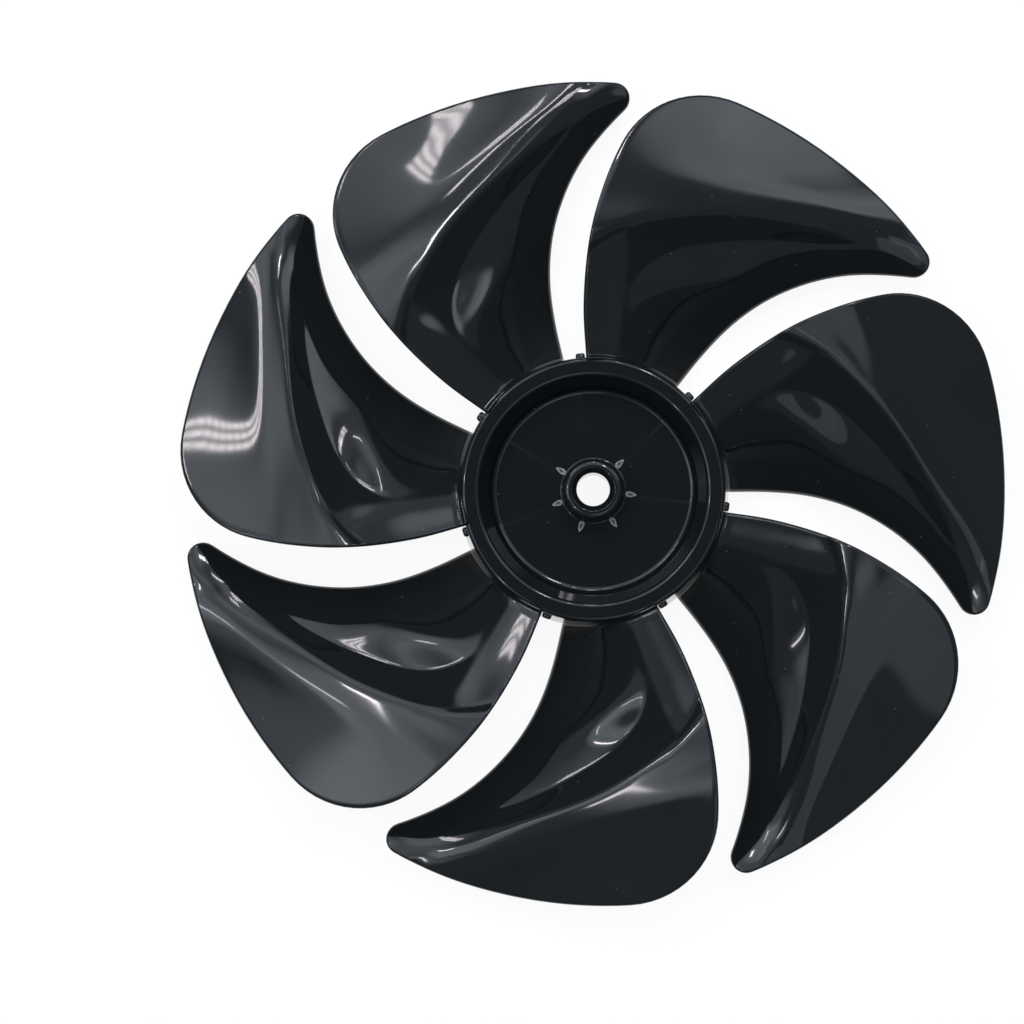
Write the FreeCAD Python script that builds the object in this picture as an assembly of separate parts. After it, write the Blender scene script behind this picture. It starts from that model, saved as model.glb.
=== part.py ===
"""Seven-blade impeller of a pedestal fan, moulded in one piece, in millimetres.

The axis of rotation is Z. The hub's rear rim lies on z = 0 and the front of the fan faces +Z.
Angles are counted counter-clockwise from +X as the front is seen; the fan turns clockwise.
"""
import math
import os

import FreeCAD
import Part
from FreeCAD import Vector

# Overall sizes
sweep_diameter = 300.0
blade_count = 7
first_blade_angle = 0.0

# Hub cup
hub_depth = 24.0
hub_rear_diameter = 99.6
hub_front_diameter = 95.4
hub_edge_chamfer = 0.8
wall = 2.2

# Front dish and boss
dish_diameter = 82.6
dish_floor_diameter = 74.0
dish_depth = 12.5
boss_diameter = 22.4
boss_chamfer = 1.9
bore_diameter = 12.0

# Drive slot across the rear end of the boss, and the ribs round it
drive_slot_width = 4.2
drive_slot_depth = 5.5
rib_thickness = 1.6
rib_recess = 3.5
rib_angle = 45.5

# Lugs on the hub's wall beside the trailing edges
lug_width = 2.6
lug_proud = 1.3
lug_gap_angle = 2.4

# Blade section
root_thickness = 2.6
tip_thickness = 1.8
tip_round = 5.6
corner_round = 34.0
crest_round = 2.0
valley_round = 2.0
brow_round = 4.0
outer_crest_round = 2.0

# Blade form, at even steps from the hub's front edge (first value) to the sweep circle (last).
# The chord runs from the trailing edge over the crest, the valley and the brow to the leading edge.
trailing_angle = (93.1, 93.2, 92.2, 90.6, 88.4, 85.9, 83.0, 79.6)
crest_angle = (78.5, 81.5, 83.5, 84.5, 69.0, 54.0, 45.2, 38.7)
valley_angle = (76.5, 78.8, 78.5, 71.0, 58.6, 48.5, 41.7, 37.0)
brow_angle = (76.0, 77.5, 69.5, 59.5, 54.0, 46.0, 40.2, 36.0)
leading_angle = (51.1, 51.2, 50.3, 48.1, 44.8, 40.7, 35.7, 30.3)
# Heights of the two edges over the hub's front rim, and slopes of the two flatter strips
trailing_height = (-1.2, 4.6, 9.8, 13.0, 13.0, 12.4, 11.2, 9.5)
leading_height = (-21.5, -21.0, -18.9, -15.6, -15.0, -16.2, -16.0, -13.2)
strip_slope = (0.40, 0.40, 0.30, 0.16, 0.18, 0.205, 0.21, 0.20)
valley_slope = (0.65, 0.57, 0.32, 0.23, 0.20, 0.21, 0.20, 0.20)

# Outer crest, at even steps of angle from the first to the last: how far it lies inside the
# sweep circle, and how steeply the blade droops beyond it
outer_crest_first_angle = 30.0
outer_crest_last_angle = 90.0
outer_crest_inset = (-8.3, 2.3, 15.2, 25.7, 32.5, 36.0, 36.5)
outer_droop = (0.12, 0.18, 0.35, 0.29, 0.19, 0.135, 0.08)

# Control net of the blade's two faces: an even rectangle over the outline. The pull is the share
# of a face's distance from the form by which its control points are moved on.
net_columns = 8
net_rows = 9
net_margin = 3.0
net_degree = 3
net_pull = 0.6

sweep_radius = sweep_diameter / 2
hub_radius = hub_front_diameter / 2
floor_height = hub_depth - dish_depth


def polar(radius, angle, height=0.0):
    """Point at a radius and an angle in degrees."""
    turn = math.radians(angle)
    return Vector(radius * math.cos(turn), radius * math.sin(turn), height)


def along(values, share):
    """Smooth curve through evenly spaced values; share runs from 0 to 1 and may go a little beyond."""
    last = len(values) - 1
    place = share * last
    index = min(max(int(math.floor(place)), 0), last - 1)
    before = values[index - 1] if index > 0 else 2 * values[0] - values[1]
    after = values[index + 2] if index + 2 <= last else 2 * values[last] - values[last - 1]
    start, end = values[index], values[index + 1]
    start_slope, end_slope = (end - before) / 2, (after - start) / 2
    t = place - index
    if t < 0:
        return start + t * start_slope
    if t > 1:
        return end + (t - 1) * end_slope
    bend = (2 * start - 2 * end + start_slope + end_slope) * t ** 3
    return bend + (3 * end - 3 * start - 2 * start_slope - end_slope) * t ** 2 + start_slope * t + start


def ramp(distance, rounding):
    """Zero before a crease and the distance beyond it, with the crease rounded off."""
    if distance > 20 * rounding:
        return distance
    return rounding * math.log1p(math.exp(distance / rounding))


def span_share(radius):
    return (radius - hub_radius) / (sweep_radius - hub_radius)


def blade_height(radius, angle):
    """Height of the blade's middle surface: four strips along the chord, and the outer droop."""
    share = span_share(radius)
    arc = math.radians(radius)
    start = along(trailing_angle, share)
    crest = (start - along(crest_angle, share)) * arc
    valley = (start - along(valley_angle, share)) * arc
    brow = (start - along(brow_angle, share)) * arc
    chord = (start - along(leading_angle, share)) * arc
    top = along(trailing_height, share)
    fall = top - along(leading_height, share)
    strip, shelf = along(strip_slope, share), along(valley_slope, share)
    steep = (fall - strip * crest - shelf * (brow - valley)) / (chord - crest - brow + valley)
    x = (start - angle) * arc
    drop = strip * x + (steep - strip) * ramp(x - crest, crest_round)
    drop -= (steep - shelf) * ramp(x - valley, valley_round)
    drop += (steep - shelf) * ramp(x - brow, brow_round)
    turn = (angle - outer_crest_first_angle) / (outer_crest_last_angle - outer_crest_first_angle)
    beyond = radius - sweep_radius + along(outer_crest_inset, turn)
    drop += along(outer_droop, turn) * ramp(beyond, outer_crest_round)
    return hub_depth + top - drop


def net_shares(count):
    """Even places of control points from 0 to 1, closer together towards both ends."""
    spans = count - net_degree
    knots = [0] * net_degree + list(range(spans + 1)) + [spans] * net_degree
    return [sum(knots[i + 1:i + net_degree + 1]) / net_degree / spans for i in range(count)]


def net_surface(points):
    """Smooth surface drawn by a net of control points."""
    ends = net_degree + 1
    mults, knots = [], []
    for count in (len(points), len(points[0])):
        inner = count - ends
        mults.append([ends] + [1] * inner + [ends])
        knots.append([float(i) for i in range(inner + 2)])
    surface = Part.BSplineSurface()
    surface.buildFromPolesMultsKnots(points, mults[0], mults[1], knots[0], knots[1],
                                     False, False, net_degree, net_degree)
    return surface


def net_face(points):
    """Face drawn by a net whose control points are moved on, so that it comes closer to the given points."""
    drawn = net_surface(points)
    columns, rows = len(points), len(points[0])
    moved = []
    for i, across in enumerate(net_shares(columns)):
        line = []
        for j, up in enumerate(net_shares(rows)):
            place = drawn.value(across * (columns - net_degree), up * (rows - net_degree))
            line.append(points[i][j] + (points[i][j] - place) * net_pull)
        moved.append(line)
    return net_surface(moved).toShape()


def height_at(x, y):
    return blade_height(math.hypot(x, y), math.degrees(math.atan2(y, x)))


def blade_slab(outline):
    """Solid between the blade's front and rear faces, a little larger than the outline all round."""
    box = outline.optimalBoundingBox()
    width, depth = box.XLength + 2 * net_margin, box.YLength + 2 * net_margin
    step = 0.1
    front, rear = [], []
    for across in net_shares(net_columns):
        x = box.XMin - net_margin + width * across
        front_row, rear_row = [], []
        for up in net_shares(net_rows):
            y = box.YMin - net_margin + depth * up
            slope_x = (height_at(x + step, y) - height_at(x - step, y)) / (2 * step)
            slope_y = (height_at(x, y + step) - height_at(x, y - step)) / (2 * step)
            share = span_share(math.hypot(x, y))
            thickness = root_thickness + (tip_thickness - root_thickness) * share
            half = thickness / 2 * math.sqrt(1 + slope_x ** 2 + slope_y ** 2)
            front_row.append(Vector(x, y, height_at(x, y) + half))
            rear_row.append(Vector(x, y, height_at(x, y) - half))
        front.append(front_row)
        rear.append(rear_row)
    faces = [net_face(front), net_face(rear)]
    sides = [Part.makeRuledSurface(a, b) for a, b in zip(faces[0].Edges, faces[1].Edges)]
    shell = Part.Shell(faces + sides)
    shell.sewShape()
    return Part.Solid(shell)


def edge_curve(angles):
    """Edge of the blade seen along the axis, from inside the hub's wall to the sweep circle."""
    steps = len(angles) - 1
    points = [polar(hub_radius - wall, along(angles, span_share(hub_radius - wall)))]
    for i in range(steps + 1):
        radius = hub_radius + (sweep_radius - hub_radius) * i / steps
        points.append(polar(radius, angles[i]))
    curve = Part.BSplineCurve()
    curve.interpolate(points)
    return curve.toShape()


def arc_between(radius, first_angle, last_angle):
    middle = polar(radius, (first_angle + last_angle) / 2)
    return Part.Arc(polar(radius, first_angle), middle, polar(radius, last_angle)).toShape()


def blade_prism():
    """The blade's outline as an upright prism, with its tip and its trailing corner rounded."""
    inner = hub_radius - wall
    inner_share = span_share(inner)
    wire = Part.Wire(Part.__sortEdges__([
        edge_curve(leading_angle),
        arc_between(sweep_radius, leading_angle[-1], trailing_angle[-1]),
        edge_curve(trailing_angle),
        arc_between(inner, along(leading_angle, inner_share), along(trailing_angle, inner_share)),
    ]))
    height = 3 * hub_depth
    prism = Part.Face(wire).extrude(Vector(0, 0, height))
    prism.translate(Vector(0, 0, -hub_depth))
    for corner, rounding in ((leading_angle[-1], tip_round), (trailing_angle[-1], corner_round)):
        place = polar(sweep_radius, corner)
        for edge in prism.Edges:
            ends = [v.Point for v in edge.Vertexes]
            if all(math.hypot(p.x - place.x, p.y - place.y) < 0.01 for p in ends):
                prism = prism.makeFillet(rounding, [edge])
                break
    return prism


def revolve(points):
    """Solid of revolution from a closed outline of (radius, height) corners."""
    corners = [Vector(r, 0, z) for r, z in points]
    face = Part.Face(Part.makePolygon(corners + corners[:1]))
    return face.revolve(Vector(0, 0, 0), Vector(0, 0, 1), 360)


def hub_core():
    rear, front = hub_rear_diameter / 2, hub_front_diameter / 2
    core = Part.makeCone(rear, front, hub_depth)
    rim = [e for e in core.Edges if abs(e.BoundBox.ZMin - hub_depth) < 0.01 and e.BoundBox.ZLength < 0.01]
    return core.makeChamfer(hub_edge_chamfer, rim)


def wall_radius(height):
    """Inside of the hub's outer wall at a height."""
    outer = hub_rear_diameter + (hub_front_diameter - hub_rear_diameter) * height / hub_depth
    return outer / 2 - wall


def front_dish():
    """Hollow in front, from the boss to the dish's sloping wall."""
    boss, floor, mouth = boss_diameter / 2, dish_floor_diameter / 2, dish_diameter / 2
    over = 1.0
    spread = over * (mouth - floor) / dish_depth
    top = hub_depth + over
    return revolve([(boss, floor_height), (floor, floor_height), (mouth + spread, top), (boss, top)])


def rear_cup():
    """Hollow behind the floor, round the rear boss and up into the rim."""
    floor, mouth, boss = dish_floor_diameter / 2, dish_diameter / 2, boss_diameter / 2
    under_floor, under_rim = floor_height - wall, hub_depth - wall
    below = -1.0
    lean = (mouth - floor) / dish_depth
    inner_top = mouth + wall * math.hypot(1, lean) - wall * lean
    inner_low = inner_top - lean * (under_rim - under_floor)
    return revolve([
        (boss, below), (wall_radius(below), below), (wall_radius(under_rim), under_rim),
        (inner_top, under_rim), (inner_low, under_floor), (boss, under_floor),
    ])


def boss_cuts():
    """Shaft bore with its front countersink, and the slot for the drive pin behind."""
    bore, boss = bore_diameter / 2, boss_diameter / 2
    over = 1.0
    hole = Part.makeCylinder(bore, hub_depth + 2 * over, Vector(0, 0, -over))
    sink = Part.makeCone(bore, bore + boss_chamfer + over, boss_chamfer + over,
                         Vector(0, 0, hub_depth - boss_chamfer))
    slot = Part.makeBox(2 * boss + over, drive_slot_width, drive_slot_depth + over,
                        Vector(-boss - over / 2, -drive_slot_width / 2, -over))
    return [hole, sink, slot]


def spokes(shape, angle):
    """Copies of a shape, one for each blade, turned from +X to the angle."""
    copies = []
    for i in range(blade_count):
        copy = shape.copy()
        copy.rotate(Vector(0, 0, 0), Vector(0, 0, 1), angle + i * 360 / blade_count)
        copies.append(copy)
    return copies


def rear_ribs():
    """Radial ribs behind the floor, from the rear boss to the outer wall."""
    start = (bore_diameter + boss_diameter) / 4
    rib = Part.makeBox(hub_rear_diameter / 2 - start, rib_thickness, hub_depth - rib_recess,
                       Vector(start, -rib_thickness / 2, rib_recess))
    return [rib.common(rear_cup()) for rib in spokes(rib, rib_angle)]


def wall_lugs():
    """Low upright lugs on the hub's wall, each in the gap beside a trailing edge."""
    half = lug_width / 2
    reach = hub_front_diameter / 2 + lug_proud
    lug = Part.makeBox(lug_proud + wall, lug_width, hub_depth - 2 * wall,
                       Vector(reach - lug_proud - wall, -half, wall))
    return spokes(lug, trailing_angle[0] + lug_gap_angle)


def fan_blade():
    outline = blade_prism()
    blade = blade_slab(outline).common(outline)
    blades = spokes(blade, first_blade_angle)
    body = hub_core().multiFuse(blades + wall_lugs())
    body = body.cut([front_dish(), rear_cup()] + boss_cuts())
    body = body.multiFuse(rear_ribs())
    return body.removeSplitter()


os.makedirs("parts", exist_ok=True)
shape = fan_blade()
print("solids", len(shape.Solids), "valid", shape.isValid(), "volume", round(shape.Volume), shape.BoundBox)
shape.exportStep("parts/fan_blade.step")
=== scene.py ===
"""Looks of the seven-blade fan impeller: the moulding's finished surfaces, its plastic, light and camera."""
import math

import bmesh
import bpy
import numpy as np
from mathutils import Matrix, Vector


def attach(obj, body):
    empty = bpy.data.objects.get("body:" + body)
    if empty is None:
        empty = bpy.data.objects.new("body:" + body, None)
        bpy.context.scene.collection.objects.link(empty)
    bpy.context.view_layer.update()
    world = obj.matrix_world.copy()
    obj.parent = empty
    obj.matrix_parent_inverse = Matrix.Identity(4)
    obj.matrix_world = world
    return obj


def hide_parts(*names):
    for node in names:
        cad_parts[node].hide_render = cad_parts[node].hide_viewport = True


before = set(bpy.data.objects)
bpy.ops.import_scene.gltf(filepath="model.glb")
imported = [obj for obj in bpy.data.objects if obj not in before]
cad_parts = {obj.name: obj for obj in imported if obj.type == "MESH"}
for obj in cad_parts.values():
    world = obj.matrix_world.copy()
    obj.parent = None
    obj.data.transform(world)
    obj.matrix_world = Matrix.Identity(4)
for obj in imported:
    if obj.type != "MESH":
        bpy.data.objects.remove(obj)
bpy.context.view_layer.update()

MM = 0.001

# Overall sizes of the moulding, in millimetres and degrees
BLADE_COUNT = 7
SWEEP_RADIUS = 150.0
HUB_DEPTH = 24.0
HUB_REAR_RADIUS = 49.8
HUB_FRONT_RADIUS = 47.7
WALL = 2.2
DISH_RADIUS = 41.3
DISH_FLOOR_RADIUS = 37.0
DISH_DEPTH = 12.5
FLOOR_HEIGHT = HUB_DEPTH - DISH_DEPTH
BOSS_RADIUS = 11.2
BOSS_CHAMFER = 1.9
BORE_RADIUS = 6.0
RIB_THICKNESS = 1.6
RIB_RECESS = 3.5
RIB_ANGLE = 45.5
RIB_OVERLAP = 0.5

# Roundings of the hub's corners, and of the ribs and lugs
RIM_ROUND = 1.5
LIP_ROUND = 1.6
DISH_FOOT_ROUND = 2.4
BOSS_TOP_ROUND = 2.4
INNER_ROUND = 0.8
CHAMFER_ROUND = 0.5
REAR_ROUND = 0.3
RIB_ROUND = 0.25
LUG_ROUND = 0.8

# Drive slot across the rear end of the boss; the cut runs a little past the boss
SLOT_WIDTH = 4.2
SLOT_DEPTH = 5.5
SLOT_OVERRUN = 0.5
SLOT_EDGE_ANGLE = 40.0

# Sink lines over the ribs, in what lies within a band round the floor's height, and lugs on the hub's wall
SINK_DEPTH = 0.06
SINK_WIDTH = 1.0
FLOOR_BAND = 0.2
LUG_WIDTH = 3.4
LUG_PROUD = 1.9
LUG_GAP_ANGLE = 2.4

# Gate marks on the dish floor, one in each sector listed; a ring is its scale, lift and whitening. The pale
# ring round a darker middle is partly stress whitening and partly a painted highlight
GATE_RADIUS = 13.8
GATE_LENGTH = 4.3
GATE_WIDTH = 2.0
GATE_TAPER = 0.45
GATE_SECTORS = (0, 2, 3, 4, 5, 6)
GATE_RINGS = ((1.0, -0.03, 0.0), (0.9, 0.05, 1.0), (0.6, 0.06, 0.9), (0.45, 0.0, 0.25), (0.02, 0.0, 0.1))
GATE_POINTS = 24

# Blade form at even steps from the hub's front edge to the sweep circle
TRAILING_ANGLE = (93.1, 93.2, 92.2, 90.6, 88.4, 85.9, 83.0, 79.6)
CREST_ANGLE = (78.5, 81.5, 83.5, 84.5, 69.0, 54.0, 45.2, 38.7)
VALLEY_ANGLE = (76.5, 78.8, 78.5, 71.0, 58.6, 48.5, 41.7, 37.0)
BROW_ANGLE = (76.0, 77.5, 69.5, 60.0, 55.0, 46.6, 40.5, 36.2)
LEADING_ANGLE = (51.1, 51.2, 50.3, 48.1, 44.8, 40.7, 35.7, 30.3)
TRAILING_HEIGHT = (0.4, 5.6, 10.2, 13.2, 13.0, 12.4, 11.2, 9.5)
LEADING_HEIGHT = (-21.5, -21.0, -18.9, -15.6, -15.0, -15.8, -16.4, -13.4)
STRIP_SLOPE = (0.24, 0.24, 0.22, 0.16, 0.18, 0.205, 0.21, 0.20)
VALLEY_SLOPE = (0.60, 0.54, 0.31, 0.25, 0.31, 0.36, 0.34, 0.32)
CREST_ROUND = (3.6, 3.4, 3.0, 2.0, 1.3, 1.1, 1.1, 1.1)
VALLEY_ROUND = 0.9
BROW_ROUND = 3.2

# Step down to the root part of the trailing strip: radius at the edge, slant, height, width, fade along
# the chord, and how many widths away it is taken as level
STEP_RADIUS = 86.0
STEP_SLANT = 0.75
STEP_HEIGHT = 1.5
STEP_ROUND = 0.9
STEP_FADE = 13.0
STEP_REACH = 40.0

# Outer crest at even steps of angle from 30 to 90 degrees, and the droop beyond it
OUTER_CREST_ANGLES = (30.0, 90.0)
OUTER_CREST_INSET = (-8.3, 2.3, 15.2, 25.7, 32.5, 36.0, 36.5)
OUTER_DROOP = (0.12, 0.18, 0.35, 0.29, 0.19, 0.135, 0.08)
OUTER_CREST_ROUND = 1.7
OUTER_CREST_LIMIT = 145.5

# Blade section and outline
ROOT_THICKNESS = 2.6
TIP_THICKNESS = 1.8
EDGE_ROUND = 0.9
TIP_ROUND = 5.6
CORNER_ROUND = 34.0
ROOT_FILLET = 1.6
REAR_CLEARANCE = 0.3

# Light, in degrees: a dim room whose ceiling ends at an angle from an axis that leans a little, with a dark
# place straight above the fan. Clouds are a scale with the least and most light, and the range of the noise
# that is used. Soft pale areas are azimuth, zenith, inner and outer radius and strength.
ROOM_TINT = "#dfe8f2"
ROOM_BASE = 0.11
ROOM_CEILING = 0.15
ROOM_AXIS = (70, 3)
ROOM_EDGE = (57, 51)
ROOM_OVERHEAD = (12, 5)
ROOM_CLOUDS = (3.2, 0.8, 1.3)
CLOUD_RANGE = (0.3, 0.7)
ROOM_AREAS = (
    (65, 46, 10, 32, 0.45),
    (122, 45, 6, 20, 1.4),
    (155, 46, 10, 30, 0.25),
    (37, 46, 6, 14, 2.2),
    (181, 31, 5, 13, 1.9),
    (88, 48, 4, 15, 1.1),
    (72, 14, 6, 20, 1.1),
    (186, 45, 5, 12, 0.7),
    (312, 14, 10, 12, 0.75),
    (284, 29, 10.5, 12, 0.6),
    (205, 18, 5, 16, 0.7),
    (138, 24, 6, 18, 1.0),
    (221, 25, 2, 7, 0.9),
    (69, 25, 2, 7, 0.7),
)
# Ceiling tubes, far away: azimuth and zenith of both ends of the middle row, rows, pitch of the rows, pieces
# end to end, width of a tube and strength; where pieces follow one another, each fills a share of its length
LAMP_TINT = "#fff8fb"
LAMP_DISTANCE = 6.0
LAMP_FILL = 0.82
LAMPS = (
    (221, 24, 221, 30, 1, 0.0, 1, 2.0, 16.0),
    (170, 27, 170, 32, 1, 0.0, 1, 1.4, 30.0),
    (180, 34, 181, 39, 1, 0.0, 1, 0.8, 16.0),
    (67, 26, 67, 32, 1, 0.0, 1, 2.4, 40.0),
    (62, 34, 70, 33, 3, 1.2, 2, 0.6, 24.0),
    (79, 36, 80, 42, 1, 0.0, 1, 0.8, 24.0),
    (129, 45, 146, 45, 3, 1.5, 11, 0.8, 24.0),
    (86, 49, 92, 50, 6, 1.2, 1, 0.6, 22.0),
    (95, 44, 100, 43, 3, 1.4, 1, 0.7, 20.0),
)

# Share of plain white in the floor where it is seen or mirrored; the rest takes the fan's shadow
FLOOR_WHITE_SHARE = 0.85
FLOOR_GLOW = 1.08
FLOOR_COLOUR = "#f7f7f7"
FLOOR_SIZE = 12.0

# Plastic: its colour, the pale colour of dust and of whitened places, which also paints a highlight on the
# gate marks, and a faint waviness in millimetres
PLASTIC_COLOUR = "#171c1f"
PALE_COLOUR = "#e8eaec"
# Share of the pale colour at the gate marks: stress whitening together with a painted highlight
WHITENING_AND_HIGHLIGHT_SHARE = 0.42
ROUGHNESS = 0.06
REFRACTION = 1.52
WAVE_PITCH = 22.0
WAVE_DEPTH = 0.06
WAVE_STRENGTH = 0.3

# Dust, in millimetres; the grains are drawn coarser than real ones, so that they show
DUST_PITCH = 6.5
DUST_RADIUS = 0.22
DUST_SHARE = 0.3

# Camera: lens in millimetres, shift in pixels of the picture, tilt in degrees and distance in metres
CAMERA_LENS = 97.6
CAMERA_SHIFT = (-81.2, -22.8)
PICTURE_SIZE = 1024
CAMERA_TILT = 2.3
CAMERA_DISTANCE = 1.0

# Mesh densities: columns between the folds, rows, and points of edges, arcs and outlines
FOLD_STEPS = (17, 14, 14, 19)
FOLD_GAP = 0.02
EVEN_SHARE = 0.45
INNER_ROWS = 42
OUTER_ROWS = 24
EDGE_STEPS = 6
HUB_TURNS = (0.0, 0.5, 1.0, 1.6, 2.4, 3.6, 5.4, 8.0, 11.0, 14.5, 18.0, 22.0)
ARC_STEPS = 5
ARC_HOLD = 0.12
OUTLINE_POINTS = 1200
CORNER_POINTS = 400
FILLET_ROWS = (0.0, 0.12, 0.4, 0.85)
ROW_CROWDING = 0.55
PLAN_ROUNDS = 12
FOOT_PROBE = 1.0


def along(values, share):
    """Smooth curve through evenly spaced values, straight beyond its ends."""
    values = np.asarray(values)
    padded = np.concatenate(([2 * values[0] - values[1]], values, [2 * values[-1] - values[-2]]))
    last = len(values) - 1
    place = np.asarray(share) * last
    index = np.clip(np.floor(place).astype(int), 0, last - 1)
    before, start, end, after = (padded[index + k] for k in range(4))
    slope_in, slope_out = (end - before) / 2, (after - start) / 2
    t = np.clip(place - index, 0, 1)
    over = place - index - t
    cubic = (2 * start - 2 * end + slope_in + slope_out) * t ** 3
    square = (3 * end - 3 * start - 2 * slope_in - slope_out) * t ** 2
    return cubic + square + slope_in * t + start + over * np.where(over < 0, slope_in, slope_out)


def ramp(distance, rounding):
    """Zero before a crease and the distance beyond it, with the crease rounded off."""
    return rounding * np.logaddexp(0, distance / rounding)


def span_share(radius):
    """Share of the way from the hub's front edge to the sweep circle."""
    return (radius - HUB_FRONT_RADIUS) / (SWEEP_RADIUS - HUB_FRONT_RADIUS)


def blade_height(x, y):
    """Height of the blade's middle surface: strip, steep band, shelf and nose along the chord."""
    radius = np.hypot(x, y)
    angle = np.degrees(np.arctan2(y, x))
    share = span_share(radius)
    arc = np.radians(radius)
    start = along(TRAILING_ANGLE, share)
    crest, valley, brow, chord = (
        (start - along(angles, share)) * arc
        for angles in (CREST_ANGLE, VALLEY_ANGLE, BROW_ANGLE, LEADING_ANGLE)
    )
    top = along(TRAILING_HEIGHT, share)
    fall = top - along(LEADING_HEIGHT, share)
    strip, shelf = along(STRIP_SLOPE, share), along(VALLEY_SLOPE, share)
    steep = (fall - strip * crest - shelf * (brow - valley)) / (chord - crest - brow + valley)
    run = (start - angle) * arc
    drop = strip * run + (steep - strip) * ramp(run - crest, along(CREST_ROUND, share))
    drop -= (steep - shelf) * ramp(run - valley, VALLEY_ROUND)
    drop += (steep - shelf) * ramp(run - brow, BROW_ROUND)
    first, last = OUTER_CREST_ANGLES
    turn = (angle - first) / (last - first)
    beyond = radius - SWEEP_RADIUS + along(OUTER_CREST_INSET, turn)
    drop += along(OUTER_DROOP, turn) * ramp(beyond, OUTER_CREST_ROUND)
    below = (STEP_RADIUS + STEP_SLANT * run - radius) / STEP_ROUND
    below = np.clip(below, -STEP_REACH, STEP_REACH)
    drop += STEP_HEIGHT * np.exp(-(run / STEP_FADE) ** 2) / (1 + np.exp(-below))
    return HUB_DEPTH + top - drop


def wall_radius(height):
    """Outside of the hub's tapered wall at a height."""
    return HUB_REAR_RADIUS + (HUB_FRONT_RADIUS - HUB_REAR_RADIUS) * height / HUB_DEPTH


def half_thickness(x, y):
    """Half of the blade's thickness measured along the axis, with a fillet where it meets the hub."""
    step = 0.1
    slope_x = (blade_height(x + step, y) - blade_height(x - step, y)) / (2 * step)
    slope_y = (blade_height(x, y + step) - blade_height(x, y - step)) / (2 * step)
    radius = np.hypot(x, y)
    thickness = ROOT_THICKNESS + (TIP_THICKNESS - ROOT_THICKNESS) * span_share(radius)
    half = thickness / 2 * np.sqrt(1 + slope_x ** 2 + slope_y ** 2)
    gap = np.clip(radius - wall_radius(blade_height(x, y)), 0, ROOT_FILLET)
    return half + ROOT_FILLET - np.sqrt(ROOT_FILLET ** 2 - (ROOT_FILLET - gap) ** 2)


def polar(radius, angle):
    """Plan point at a radius and an angle in degrees."""
    turn = np.radians(angle)
    return np.stack([radius * np.cos(turn), radius * np.sin(turn)], axis=-1)


def outline_branch(angles, side, rounding):
    """One edge of the blade with its rounded outer corner, set in by the edge's own rounding.

    Returns radii and angles from the hub to the sweep circle; side is +1 where the blade's inside
    lies clockwise of the edge, and -1 where it lies counter-clockwise.
    """
    radius = np.linspace(HUB_FRONT_RADIUS - 2 * WALL, SWEEP_RADIUS, OUTLINE_POINTS)
    points = polar(radius, along(angles, span_share(radius)))
    tangent = np.gradient(points, axis=0)
    tangent /= np.linalg.norm(tangent, axis=1, keepdims=True)
    inward = side * np.stack([tangent[:, 1], -tangent[:, 0]], axis=1)
    centres = points + inward * rounding
    meets = np.linalg.norm(centres, axis=1) < SWEEP_RADIUS - rounding
    end = np.nonzero(meets)[0][-1]
    centre = centres[end]
    from_angle = math.atan2(*(points[end] - centre)[::-1])
    to_angle = math.atan2(*centre[::-1])
    sweep = (to_angle - from_angle + math.pi) % (2 * math.pi) - math.pi
    turns = from_angle + sweep * np.linspace(0, 1, CORNER_POINTS)
    arc = centre + (rounding - EDGE_ROUND) * np.stack([np.cos(turns), np.sin(turns)], axis=1)
    edge = np.concatenate([points[:end] + inward[:end] * EDGE_ROUND, arc])
    return np.linalg.norm(edge, axis=1), np.degrees(np.arctan2(edge[:, 1], edge[:, 0]))


def column_shares(radius):
    """Chord share of every grid point: columns laid along the three folds, closer beside them."""
    share = span_share(radius)
    first, last = along(TRAILING_ANGLE, share), along(LEADING_ANGLE, share)
    folds = (CREST_ANGLE, VALLEY_ANGLE, BROW_ANGLE)
    marks = [(first - along(angles, share)) / (first - last) for angles in folds]
    widths = np.diff(np.stack([0 * radius, *marks, 0 * radius + 1]), axis=0)
    widths = np.maximum(widths, FOLD_GAP)
    widths /= widths.sum(axis=0)
    edges = np.concatenate([[0], np.cumsum(FOLD_STEPS)])
    part = (np.arange(edges[-1] + 1) - edges[:-1, None]) / np.array(FOLD_STEPS)[:, None]
    part = np.clip(part, 0, 1)
    eased = EVEN_SHARE * part + (1 - EVEN_SHARE) * (1 - np.cos(math.pi * part)) / 2
    return (widths * eased[:, None, :]).sum(axis=0)


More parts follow.
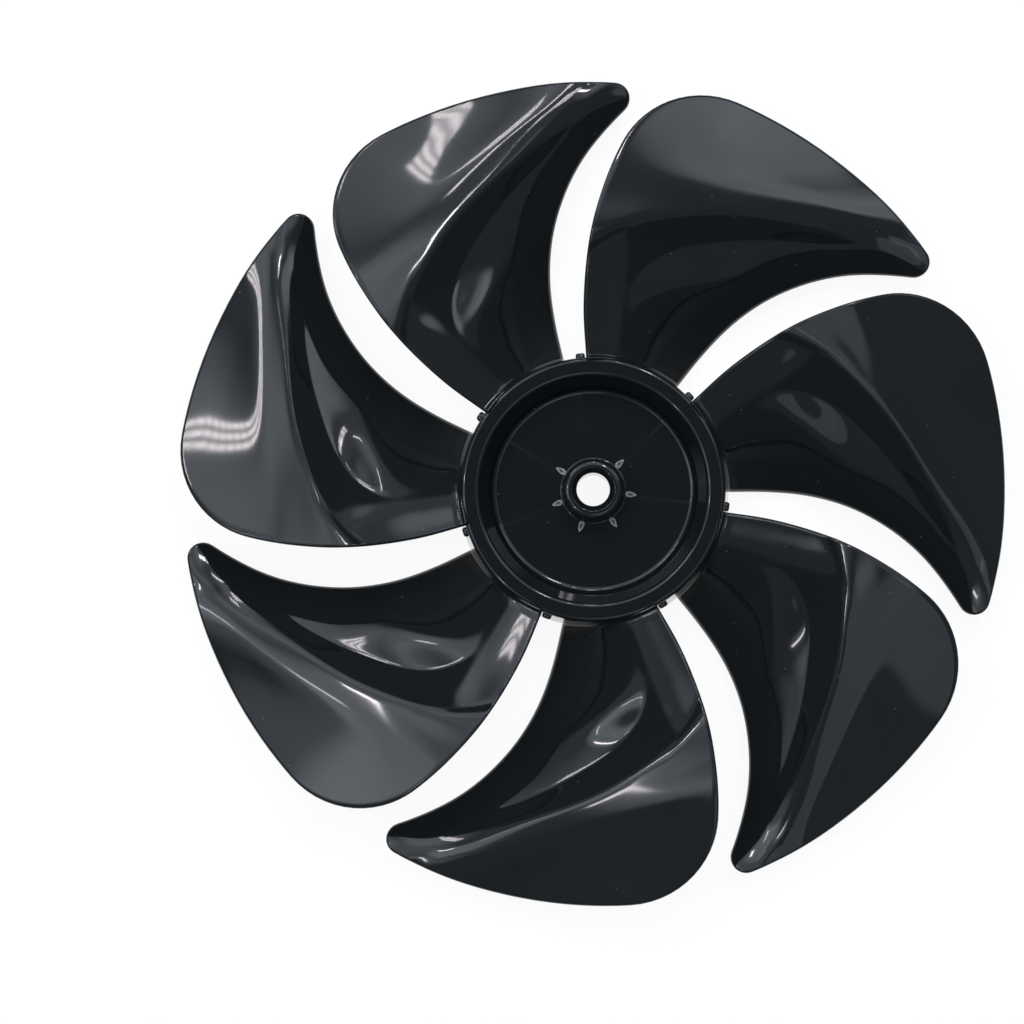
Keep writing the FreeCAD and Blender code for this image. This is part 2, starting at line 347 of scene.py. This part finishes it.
def blade_plan():
    """Grid of plan points that covers the blade, rows from the hub outwards and columns along the chord.

    Columns follow the folds of the chord, and one row follows the outer crest.
    """
    trailing = outline_branch(TRAILING_ANGLE, 1, CORNER_ROUND)
    leading = outline_branch(LEADING_ANGLE, -1, TIP_ROUND)
    outer = SWEEP_RADIUS - EDGE_ROUND
    near = np.array([-WALL / 2, *FILLET_ROWS])
    part = np.linspace(0, 1, INNER_ROWS)
    to_crest = part + ROW_CROWDING * part * (1 - part)
    part = np.linspace(0, 1, OUTER_ROWS)[1:]
    from_crest = (1 - np.cos(math.pi * part)) / 2
    columns = sum(FOLD_STEPS) + 1
    rows = len(near) + INNER_ROWS + OUTER_ROWS - 1
    root_angle = np.linspace(TRAILING_ANGLE[0], LEADING_ANGLE[0], columns)
    angle = np.tile(root_angle, (rows, 1))
    first, last = OUTER_CREST_ANGLES
    for _ in range(PLAN_ROUNDS):
        foot = polar(HUB_FRONT_RADIUS + FOOT_PROBE, angle[0])
        start = wall_radius(blade_height(foot[:, 0], foot[:, 1]))
        inset = along(OUTER_CREST_INSET, (angle - first) / (last - first))
        crest = np.minimum(SWEEP_RADIUS - inset, OUTER_CREST_LIMIT)
        inner_crest, outer_crest = crest[len(near):-len(from_crest)], crest[-len(from_crest):]
        foot_end = start + ROOT_FILLET
        radius = np.concatenate([
            start + near[:, None] + 0 * crest[:len(near)],
            foot_end + (inner_crest - foot_end) * to_crest[:, None],
            outer_crest + (outer - outer_crest) * from_crest[:, None],
        ])
        begin = np.interp(radius, *trailing)
        end = np.interp(radius, *leading)
        angle = 0.5 * angle + 0.5 * (begin + (end - begin) * column_shares(radius))
    return polar(radius, begin + (end - begin) * column_shares(radius))


def blade_mesh():
    """Closed blade with a full round along its free edges; its foot ends inside the hub's wall."""
    plan = blade_plan()
    rows, columns = plan.shape[:2]
    x, y = plan[..., 0], plan[..., 1]
    middle, half = blade_height(x, y), half_thickness(x, y)
    front = np.dstack([x, y, middle + half]).reshape(-1, 3)
    rear = np.dstack([x, y, np.maximum(middle - half, REAR_CLEARANCE)]).reshape(-1, 3)
    ids = np.arange(rows * columns).reshape(rows, columns)
    rim = np.concatenate([ids[:, 0], ids[-1, 1:-1], ids[::-1, -1]])
    rim_plan = plan.reshape(-1, 2)[rim]
    tangent = np.gradient(rim_plan, axis=0)
    tangent /= np.linalg.norm(tangent, axis=1, keepdims=True)
    outward = np.stack([-tangent[:, 1], tangent[:, 0]], axis=1)
    loops, points = [rim], [front, rear]
    for k in range(1, EDGE_STEPS):
        turn = math.pi * k / EDGE_STEPS
        place = rim_plan + outward * EDGE_ROUND * math.sin(turn)
        height = blade_height(place[:, 0], place[:, 1]) + half.reshape(-1)[rim] * math.cos(turn)
        loops.append(2 * rows * columns + (k - 1) * len(rim) + np.arange(len(rim)))
        points.append(np.column_stack([place, height]))
    loops.append(rim + rows * columns)
    faces = []
    for i in range(rows - 1):
        for j in range(columns - 1):
            quad = (ids[i, j], ids[i + 1, j], ids[i + 1, j + 1], ids[i, j + 1])
            faces.append(quad[::-1])
            faces.append(tuple(v + rows * columns for v in quad))
    for inner, outer in zip(loops, loops[1:]):
        for a, b in zip(range(len(rim) - 1), range(1, len(rim))):
            faces.append((inner[a], inner[b], outer[b], outer[a]))
    for j in range(columns - 1):
        faces.append((ids[0, j], ids[0, j + 1], ids[0, j + 1] + rows * columns, ids[0, j] + rows * columns))
    for end in (0, -1):
        faces.append(tuple(loop[end] for loop in loops))
    return np.concatenate(points), faces


def rounded_profile(corners):
    """Points of a closed outline whose corners (radius, height, rounding) are rounded off.

    A point just beyond each end of an arc keeps the flat beside it flat under smooth shading.
    """
    points = []
    count = len(corners)
    for i in range(count):
        place = Vector(corners[i][:2])
        rounding = corners[i][2]
        back = (Vector(corners[i - 1][:2]) - place).normalized()
        on = (Vector(corners[(i + 1) % count][:2]) - place).normalized()
        half = back.angle(on) / 2
        reach = rounding / math.tan(half)
        centre = place + (back + on).normalized() * rounding / math.sin(half)
        start, end = place + back * reach, place + on * reach
        points.append(start + back * ARC_HOLD)
        for k in range(ARC_STEPS + 1):
            spoke = (start - centre).lerp(end - centre, k / ARC_STEPS).normalized()
            points.append(centre + spoke * rounding)
        points.append(end + on * ARC_HOLD)
    return points


def hub_mesh():
    """The hub turned about the axis, with shallow sink lines in the floor over the rear ribs."""
    lean = (DISH_RADIUS - DISH_FLOOR_RADIUS) / DISH_DEPTH
    under_floor, under_rim = FLOOR_HEIGHT - WALL, HUB_DEPTH - WALL
    inner_top = DISH_RADIUS + WALL * math.hypot(1, lean) - WALL * lean
    inner_low = inner_top - lean * (under_rim - under_floor)
    profile = rounded_profile([
        (HUB_REAR_RADIUS, 0.0, REAR_ROUND),
        (HUB_FRONT_RADIUS, HUB_DEPTH, RIM_ROUND),
        (DISH_RADIUS, HUB_DEPTH, LIP_ROUND),
        (DISH_FLOOR_RADIUS, FLOOR_HEIGHT, DISH_FOOT_ROUND),
        (BOSS_RADIUS, FLOOR_HEIGHT, INNER_ROUND),
        (BOSS_RADIUS, HUB_DEPTH, BOSS_TOP_ROUND),
        (BORE_RADIUS + BOSS_CHAMFER, HUB_DEPTH, CHAMFER_ROUND),
        (BORE_RADIUS, HUB_DEPTH - BOSS_CHAMFER, CHAMFER_ROUND),
        (BORE_RADIUS, 0.0, REAR_ROUND),
        (BOSS_RADIUS, 0.0, REAR_ROUND),
        (BOSS_RADIUS, under_floor, INNER_ROUND),
        (inner_low, under_floor, INNER_ROUND),
        (inner_top, under_rim, CHAMFER_ROUND),
        (wall_radius(under_rim) - WALL, under_rim, CHAMFER_ROUND),
        (wall_radius(0) - WALL, 0.0, REAR_ROUND),
    ])
    pitch = 360 / BLADE_COUNT
    sector = np.array(sorted({-t for t in HUB_TURNS} | set(HUB_TURNS) | {-pitch / 2}))
    turns = np.radians(RIB_ANGLE + (np.arange(BLADE_COUNT)[:, None] * pitch + sector).ravel())
    radii = np.array([p.x for p in profile])
    heights = np.array([p.y for p in profile])
    x, y = np.outer(np.cos(turns), radii), np.outer(np.sin(turns), radii)
    on_floor = np.abs(heights - FLOOR_HEIGHT) < FLOOR_BAND
    aside = np.outer(np.radians(np.tile(sector, BLADE_COUNT)), radii)
    z = heights - on_floor * SINK_DEPTH * np.exp(-(aside / SINK_WIDTH) ** 2)
    count, segments = len(profile), len(turns)
    faces = []
    for i in range(segments):
        for j in range(count):
            a, b = i * count, (i + 1) % segments * count
            k = (j + 1) % count
            faces.append((a + j, a + k, b + k, b + j))
    return np.dstack([x, y, z]).reshape(-1, 3), faces


def upright_prism(outline, thickness, angle, rounding):
    """Plate that stands along a radius: outline points are (radius, height), edges slightly rounded."""
    work = bmesh.new()
    out, side = polar(1.0, angle), polar(1.0, angle + 90)
    ends = []
    for offset in (-thickness / 2, thickness / 2):
        ends.append([work.verts.new((*(out * r + side * offset), z)) for r, z in outline])
    count = len(outline)
    work.faces.new(ends[0][::-1])
    work.faces.new(ends[1])
    for k in range(count):
        j = (k + 1) % count
        work.faces.new((ends[0][k], ends[0][j], ends[1][j], ends[1][k]))
    bmesh.ops.bevel(work, geom=work.edges[:], offset=rounding, segments=2, profile=0.5, affect="EDGES")
    work.verts.index_update()
    points = np.array([v.co for v in work.verts])
    faces = [tuple(v.index for v in face.verts) for face in work.faces]
    work.free()
    return points, faces


def rear_rib():
    """One radial rib behind the floor; its top lies a little inside the floor, wall and rim."""
    lean = (DISH_RADIUS - DISH_FLOOR_RADIUS) / DISH_DEPTH
    top, high = FLOOR_HEIGHT - WALL / 2, HUB_DEPTH - WALL / 2
    start = BOSS_RADIUS - RIB_OVERLAP
    outline = [
        (start, RIB_RECESS),
        (wall_radius(RIB_RECESS) - WALL / 2, RIB_RECESS),
        (wall_radius(high) - WALL / 2, high),
        (DISH_RADIUS + WALL / 2, high),
        (DISH_RADIUS + WALL / 2 - lean * (high - top), top),
        (start, top),
    ]
    return upright_prism(outline, RIB_THICKNESS, RIB_ANGLE, RIB_ROUND)


def wall_lug():
    """One low upright lug on the hub's wall, in the gap beside a trailing edge."""
    inside, outside = HUB_FRONT_RADIUS - WALL / 2, HUB_FRONT_RADIUS + LUG_PROUD
    outline = [(inside, WALL), (outside, WALL), (outside, HUB_DEPTH - WALL), (inside, HUB_DEPTH - WALL)]
    return upright_prism(outline, LUG_WIDTH, TRAILING_ANGLE[0] + LUG_GAP_ANGLE, LUG_ROUND)


def gate_mark(angle):
    """Trace of an injection gate on the floor: a low teardrop; a point's last value is its whitening, partly
    stress whitening and partly a painted highlight.
    """
    turns = np.linspace(0, 2 * math.pi, GATE_POINTS, endpoint=False)
    along_mark = np.cos(turns) * GATE_LENGTH / 2
    across = np.sin(turns) * GATE_WIDTH / 2 * (1 - GATE_TAPER * np.cos(turns))
    out, side = polar(1.0, angle), polar(1.0, angle + 90)
    rings = []
    for scale, lift, white_and_highlight in GATE_RINGS:
        flat = (GATE_RADIUS + along_mark * scale)[:, None] * out + (across * scale)[:, None] * side
        height = np.full(GATE_POINTS, FLOOR_HEIGHT + lift)
        rings.append(np.column_stack([flat, height, np.full(GATE_POINTS, white_and_highlight)]))
    count = GATE_POINTS
    faces = []
    for ring in range(len(rings) - 1):
        for k in range(count):
            a, b = ring * count, (ring + 1) * count
            j = (k + 1) % count
            faces.append((a + k, a + j, b + j, b + k))
    faces.append(tuple(range((len(rings) - 1) * count, len(rings) * count)))
    faces.append(tuple(range(count)))
    return np.concatenate(rings), faces


def joined(*pieces):
    """Points and faces of several meshes as one; points without a whitening and painted highlight value get
    none.
    """
    points, faces, first = [], [], 0
    for some, polygons in pieces:
        if some.shape[1] == 3:
            some = np.column_stack([some, np.zeros(len(some))])
        points.append(some)
        faces += [tuple(v + first for v in polygon) for polygon in polygons]
        first += len(some)
    return np.concatenate(points), faces


def make_object(name, points, faces):
    """Mesh object in metres from points in millimetres, smooth, its faces turned outwards."""
    points = np.asarray(points)
    whitening_and_highlight = points[:, 3] if points.shape[1] == 4 else np.zeros(len(points))
    mesh = bpy.data.meshes.new(name)
    mesh.from_pydata((points[:, :3] * MM).tolist(), [], [tuple(int(v) for v in f) for f in faces])
    work = bmesh.new()
    work.from_mesh(mesh)
    bmesh.ops.recalc_face_normals(work, faces=work.faces)
    for face in work.faces:
        face.smooth = True
    work.to_mesh(mesh)
    work.free()
    # Pale paint of the gate marks, stress whitening and painted highlight together, kept on the points
    values = mesh.attributes.new("whitening_and_highlight", "FLOAT", "POINT").data
    values.foreach_set("value", whitening_and_highlight.astype(np.float32))
    thing = bpy.data.objects.new(name, mesh)
    bpy.context.scene.collection.objects.link(thing)
    return thing


def add_node(tree, kind, links=(), **settings):
    """Adds a node; settings are its properties or input values, links are (output, input name) pairs."""
    node = tree.nodes.new(kind)
    for name, value in settings.items():
        if hasattr(node, name):
            setattr(node, name, value)
        else:
            node.inputs[name.replace("_", " ")].default_value = value
    for source, target in links:
        tree.links.new(source, node.inputs[target])
    return node


def round_pattern_tree():
    """Turns copies of one sector about the axis and joins them to the hub."""
    tree = bpy.data.node_groups.new("blades_round_the_hub", "GeometryNodeTree")
    sockets = {}
    for name, kind in (("Sector", "NodeSocketGeometry"), ("Blade Count", "NodeSocketInt"),
                       ("Hub", "NodeSocketObject"), ("Finish", "NodeSocketMaterial")):
        sockets[name] = tree.interface.new_socket(name, in_out="INPUT", socket_type=kind).identifier
    tree.interface.new_socket("Moulding", in_out="OUTPUT", socket_type="NodeSocketGeometry")
    given = add_node(tree, "NodeGroupInput").outputs
    places = add_node(tree, "GeometryNodePoints", [(given["Blade Count"], "Count")])
    pitch = add_node(tree, "ShaderNodeMath", [(given["Blade Count"], 1)], operation="DIVIDE")
    pitch.inputs[0].default_value = 2 * math.pi
    index = add_node(tree, "GeometryNodeInputIndex")
    turn = add_node(tree, "ShaderNodeMath", [(index.outputs[0], 0), (pitch.outputs[0], 1)],
                    operation="MULTIPLY")
    about_axis = add_node(tree, "ShaderNodeCombineXYZ", [(turn.outputs[0], "Z")])
    copies = add_node(tree, "GeometryNodeInstanceOnPoints", [
        (places.outputs[0], "Points"), (given["Sector"], "Instance"), (about_axis.outputs[0], "Rotation")])
    hub = add_node(tree, "GeometryNodeObjectInfo", [(given["Hub"], "Object")])
    whole = add_node(tree, "GeometryNodeJoinGeometry")
    tree.links.new(hub.outputs["Geometry"], whole.inputs[0])
    tree.links.new(copies.outputs[0], whole.inputs[0])
    real = add_node(tree, "GeometryNodeRealizeInstances", [(whole.outputs[0], 0)])
    finish = add_node(tree, "GeometryNodeSetMaterial", [(real.outputs[0], 0), (given["Finish"], "Material")])
    add_node(tree, "NodeGroupOutput", [(finish.outputs[0], 0)])
    return tree, sockets


def plain_mesh(thing):
    """Replaces an object's mesh by its evaluated one and drops the modifiers."""
    bpy.context.view_layer.update()
    evaluated = thing.evaluated_get(bpy.context.evaluated_depsgraph_get())
    mesh = bpy.data.meshes.new_from_object(evaluated)
    thing.modifiers.clear()
    thing.data = mesh
    return thing


def cut_drive_slot(hub):
    """Cuts the slot for the drive pin across the rear end of the boss and keeps its edges sharp."""
    reach, half = BOSS_RADIUS + SLOT_OVERRUN, SLOT_WIDTH / 2
    low, high = -SLOT_OVERRUN, SLOT_DEPTH
    corners = [(x, y, z) for x in (-reach, reach) for y in (-half, half) for z in (low, high)]
    sides = [(0, 1, 3, 2), (4, 5, 7, 6), (0, 1, 5, 4), (2, 3, 7, 6), (0, 2, 6, 4), (1, 3, 7, 5)]
    box = make_object("drive_slot", corners, sides)
    cut = hub.modifiers.new("drive_slot", "BOOLEAN")
    cut.operation = "DIFFERENCE"
    cut.solver = "EXACT"
    cut.object = box
    plain_mesh(hub)
    bpy.data.objects.remove(box)
    hub.data.set_sharp_from_angle(angle=math.radians(SLOT_EDGE_ANGLE))


def srgb(hex_colour, alpha=1.0):
    """Linear colour from an sRGB hex value."""
    parts = [int(hex_colour[i:i + 2], 16) / 255 for i in (1, 3, 5)]
    linear = [c / 12.92 if c <= 0.04045 else ((c + 0.055) / 1.055) ** 2.4 for c in parts]
    return (*linear, alpha)


def new_material(name):
    """Empty material and its node tree."""
    material = bpy.data.materials.new(name)
    material.use_nodes = True
    material.node_tree.nodes.clear()
    return material, material.node_tree


def gloss_black_plastic():
    """Black ABS from a polished mould: dark and mirror-like, faintly wavy, with a little dust on it and a
    painted highlight on the pale gate marks.
    """
    material, tree = new_material("polished_mould_black_abs")
    where = add_node(tree, "ShaderNodeTexCoord").outputs["Object"]
    wave = add_node(tree, "ShaderNodeTexNoise", [(where, "Vector")], Scale=1 / (WAVE_PITCH * MM), Detail=1.0)
    bump = add_node(tree, "ShaderNodeBump", [(wave.outputs[0], "Height")],
                    Strength=WAVE_STRENGTH, Distance=WAVE_DEPTH * MM)
    grains = add_node(tree, "ShaderNodeTexVoronoi", [(where, "Vector")], Scale=1 / (DUST_PITCH * MM))
    reach = DUST_RADIUS / DUST_PITCH
    dust = add_node(tree, "ShaderNodeMapRange", [(grains.outputs["Distance"], "Value")],
                    From_Min=reach, From_Max=reach / 2, To_Max=DUST_SHARE)
    # Gate marks painted pale: partly stress whitening, partly a painted highlight; dust specks share the
    # same pale colour
    white_and_highlight = add_node(tree, "ShaderNodeAttribute", attribute_name="whitening_and_highlight")
    pale_and_highlight = add_node(tree, "ShaderNodeMath", [(white_and_highlight.outputs["Fac"], 0)], operation="MULTIPLY")
    pale_and_highlight.inputs[1].default_value = WHITENING_AND_HIGHLIGHT_SHARE
    dust_whitening_and_highlight = add_node(tree, "ShaderNodeMath", [(dust.outputs[0], 0), (pale_and_highlight.outputs[0], 1)],
                     operation="MAXIMUM")
    colour = add_node(tree, "ShaderNodeMix", [(dust_whitening_and_highlight.outputs[0], "Factor")], data_type="RGBA")
    black, white_end = (socket for socket in colour.inputs if socket.type == "RGBA")
    black.default_value = srgb(PLASTIC_COLOUR)
    white_end.default_value = srgb(PALE_COLOUR)
    mixed = next(socket for socket in colour.outputs if socket.type == "RGBA")
    shader = add_node(tree, "ShaderNodeBsdfPrincipled", [(mixed, "Base Color"), (bump.outputs[0], "Normal")],
                      Roughness=ROUGHNESS, IOR=REFRACTION)
    add_node(tree, "ShaderNodeOutputMaterial", [(shader.outputs[0], "Surface")])
    return material


def moulding():
    """The whole impeller as one piece: the hub, and one blade, rib and lug turned round it."""
    plastic = gloss_black_plastic()
    marks = [gate_mark(RIB_ANGLE + k * 360 / BLADE_COUNT) for k in GATE_SECTORS]
    hub = make_object("hub", *joined(hub_mesh(), *marks))
    cut_drive_slot(hub)
    fan = make_object("fan_moulding", *joined(blade_mesh(), rear_rib(), wall_lug()))
    tree, sockets = round_pattern_tree()
    pattern = fan.modifiers.new("round_pattern", "NODES")
    pattern.node_group = tree
    pattern[sockets["Blade Count"]] = BLADE_COUNT
    pattern[sockets["Hub"]] = hub
    pattern[sockets["Finish"]] = plastic
    plain_mesh(fan)
    bpy.data.objects.remove(hub)
    return fan


def stage_floor():
    """White paper under the fan: white where it is seen or mirrored, with the fan's shadow on it."""
    material, tree = new_material("white_paper_floor")
    path = add_node(tree, "ShaderNodeLightPath").outputs
    seen = path["Is Camera Ray"]
    for kind in ("Is Glossy Ray", "Is Transmission Ray"):
        either = add_node(tree, "ShaderNodeMath", [(seen, 0), (path[kind], 1)], operation="MAXIMUM")
        seen = either.outputs[0]
    share = add_node(tree, "ShaderNodeMath", [(seen, 0)], operation="MULTIPLY")
    share.inputs[1].default_value = FLOOR_WHITE_SHARE
    paper = add_node(tree, "ShaderNodeBsdfDiffuse", Color=srgb(FLOOR_COLOUR))
    glow = add_node(tree, "ShaderNodeEmission", Color=srgb("#ffffff"), Strength=FLOOR_GLOW)
    mix = add_node(tree, "ShaderNodeMixShader",
                   [(share.outputs[0], 0), (paper.outputs[0], 1), (glow.outputs[0], 2)])
    add_node(tree, "ShaderNodeOutputMaterial", [(mix.outputs[0], "Surface")])
    bpy.ops.mesh.primitive_plane_add(size=FLOOR_SIZE)
    floor = bpy.context.object
    floor.name = "floor"
    floor.data.materials.append(material)


def direction(azimuth, zenith):
    """Unit vector from the fan towards a place given in degrees round and away from the axis."""
    a, z = math.radians(azimuth), math.radians(zenith)
    return Vector((math.cos(a) * math.sin(z), math.sin(a) * math.sin(z), math.cos(z)))


def grey_room():
    """Dim, slightly cloudy room with soft pale areas, each a smooth spot round a direction."""
    world = bpy.data.worlds.new("grey_room")
    world.use_nodes = True
    tree = world.node_tree
    tree.nodes.clear()
    ray = add_node(tree, "ShaderNodeTexCoord").outputs["Generated"]

    def toward(place):
        """Cosine of the angle between a ray and a direction."""
        near = add_node(tree, "ShaderNodeVectorMath", [(ray, 0)], operation="DOT_PRODUCT")
        near.inputs[1].default_value = place
        return near.outputs["Value"]

    def eased(value, outer, inner, low, high):
        """Smooth change of a cosine from low beyond the outer angle to high within the inner one."""
        return add_node(tree, "ShaderNodeMapRange", [(value, "Value")], interpolation_type="SMOOTHSTEP",
                        From_Min=math.cos(math.radians(outer)), From_Max=math.cos(math.radians(inner)),
                        To_Min=low, To_Max=high).outputs[0]

    def combine(operation, one, two):
        """Math node of two values, each a socket or a number."""
        node = add_node(tree, "ShaderNodeMath", operation=operation)
        for socket, value in zip(node.inputs, (one, two)):
            if isinstance(value, float):
                socket.default_value = value
            else:
                tree.links.new(value, socket)
        return node.outputs[0]

    total = ROOM_CEILING
    for azimuth, zenith, inner, outer, strength in ROOM_AREAS:
        spot = eased(toward(direction(azimuth, zenith)), outer, inner, 0.0, strength)
        total = combine("ADD", spot, total)
    size, least, most = ROOM_CLOUDS
    low, high = CLOUD_RANGE
    clouds = add_node(tree, "ShaderNodeTexNoise", [(ray, "Vector")], Scale=size, Detail=2.0)
    uneven = add_node(tree, "ShaderNodeMapRange", [(clouds.outputs[0], "Value")],
                      From_Min=low, From_Max=high, To_Min=least, To_Max=most)
    total = combine("MULTIPLY", total, uneven.outputs[0])
    total = combine("MULTIPLY", total, eased(toward(direction(*ROOM_AXIS)), *ROOM_EDGE, 0.0, 1.0))
    total = combine("MULTIPLY", total, eased(toward(direction(0, 0)), *ROOM_OVERHEAD, 1.0, 0.0))
    total = combine("ADD", total, ROOM_BASE)
    glow = add_node(tree, "ShaderNodeBackground", [(total, "Strength")], Color=srgb(ROOM_TINT))
    add_node(tree, "ShaderNodeOutputWorld", [(glow.outputs[0], "Surface")])
    bpy.context.scene.world = world


def lamp_bank(azimuth_1, zenith_1, azimuth_2, zenith_2, rows, row_pitch, pieces, width, strength):
    """Rows of bright tubes end to end, high over the fan and out of the camera's sight."""
    material, tree = new_material("lamp_tube")
    glow = add_node(tree, "ShaderNodeEmission", Color=srgb(LAMP_TINT), Strength=strength)
    add_node(tree, "ShaderNodeOutputMaterial", [(glow.outputs[0], "Surface")])
    start = direction(azimuth_1, zenith_1) * LAMP_DISTANCE
    end = direction(azimuth_2, zenith_2) * LAMP_DISTANCE
    step = (end - start) / pieces
    across = start.cross(end).normalized() * math.radians(1) * LAMP_DISTANCE
    fill = LAMP_FILL if pieces > 1 else 1.0
    points, faces = [], []
    for row in range(rows):
        offset = across * (row_pitch * (row - (rows - 1) / 2) - width / 2)
        for k in range(pieces):
            corner = start + step * k + offset
            tube, side = step * fill, across * width
            first = len(points)
            points += [corner, corner + tube, corner + tube + side, corner + side]
            faces.append((first, first + 1, first + 2, first + 3))
    bank = make_object("tube_lamps", np.array(points) / MM, faces)
    bank.data.materials.append(material)
    bank.visible_camera = False


def camera():
    """Camera in front of the fan, tilted a little; the shift places the fan off the picture's middle."""
    lens = bpy.data.cameras.new("camera")
    lens.lens = CAMERA_LENS
    lens.shift_x, lens.shift_y = (pixels / PICTURE_SIZE for pixels in CAMERA_SHIFT)
    thing = bpy.data.objects.new("camera", lens)
    tilt = math.radians(CAMERA_TILT)
    away = Vector((0, -math.sin(tilt), math.cos(tilt)))
    thing.location = Vector((0, 0, HUB_DEPTH * MM)) + away * CAMERA_DISTANCE
    thing.rotation_euler = away.to_track_quat("Z", "Y").to_euler()
    bpy.context.scene.collection.objects.link(thing)
    bpy.context.scene.camera = thing


fan = moulding()
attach(fan, "root")
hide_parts("fan_blade")
stage_floor()
grey_room()
for lamp in LAMPS:
    lamp_bank(*lamp)
camera()
bpy.context.scene.view_settings.view_transform = "Standard"
